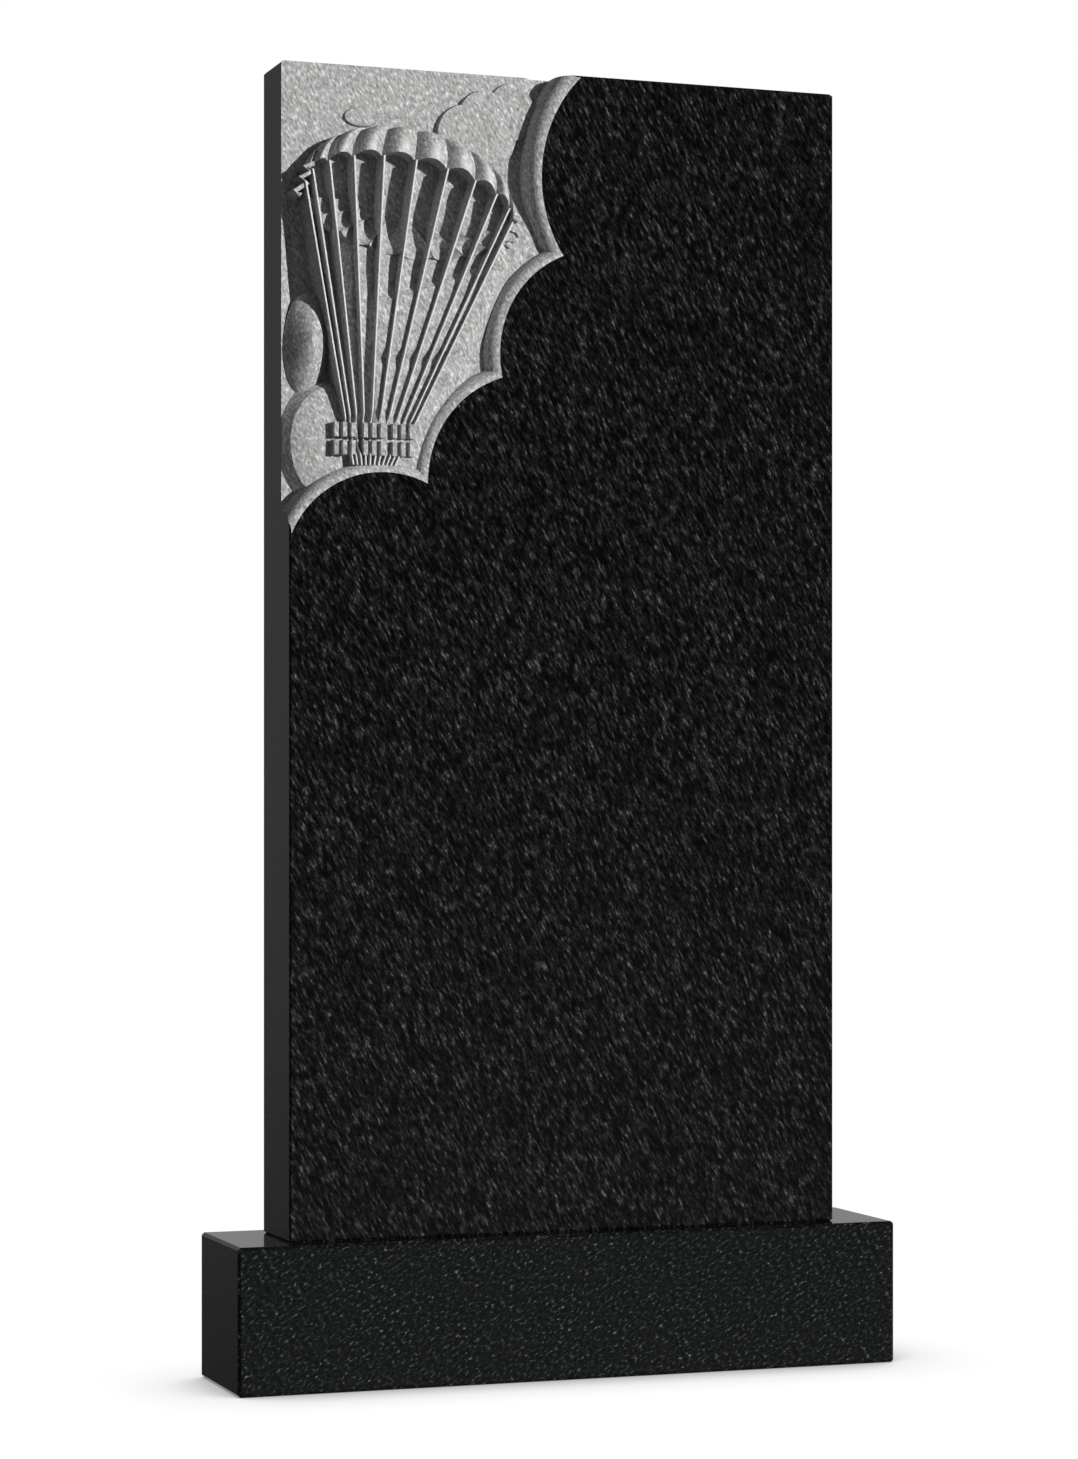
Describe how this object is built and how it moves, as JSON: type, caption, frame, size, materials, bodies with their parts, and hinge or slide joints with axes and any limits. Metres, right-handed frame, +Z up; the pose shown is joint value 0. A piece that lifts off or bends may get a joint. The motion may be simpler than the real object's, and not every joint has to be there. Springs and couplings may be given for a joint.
{
  "type": "memorial stele",
  "caption": "Upright slab of black polished stone with one corner carved in relief, standing on a low rectangular plinth.",
  "frame": {"origin": "middle of the plinth's underside", "axes": "+Z up, the carved and polished face looks along -Y, +X is to the right of a person who faces it"},
  "size_m": [0.72, 0.15, 1.35],
  "materials": {
    "polished_stone": "black gabbro, polished to a mirror, with fine grey flecks; the carved corner is the same stone tooled to a matt light grey",
    "plinth_stone": "black gabbro, polished, with fine grey flecks",
    "carved_stone": "the same gabbro left matt and pale grey by the tool, in the carved corner of the stele"
  },
  "bodies": {
    "root": {"stele": "polished_stone", "plinth": "plinth_stone"}
  },
  "joints": []
}
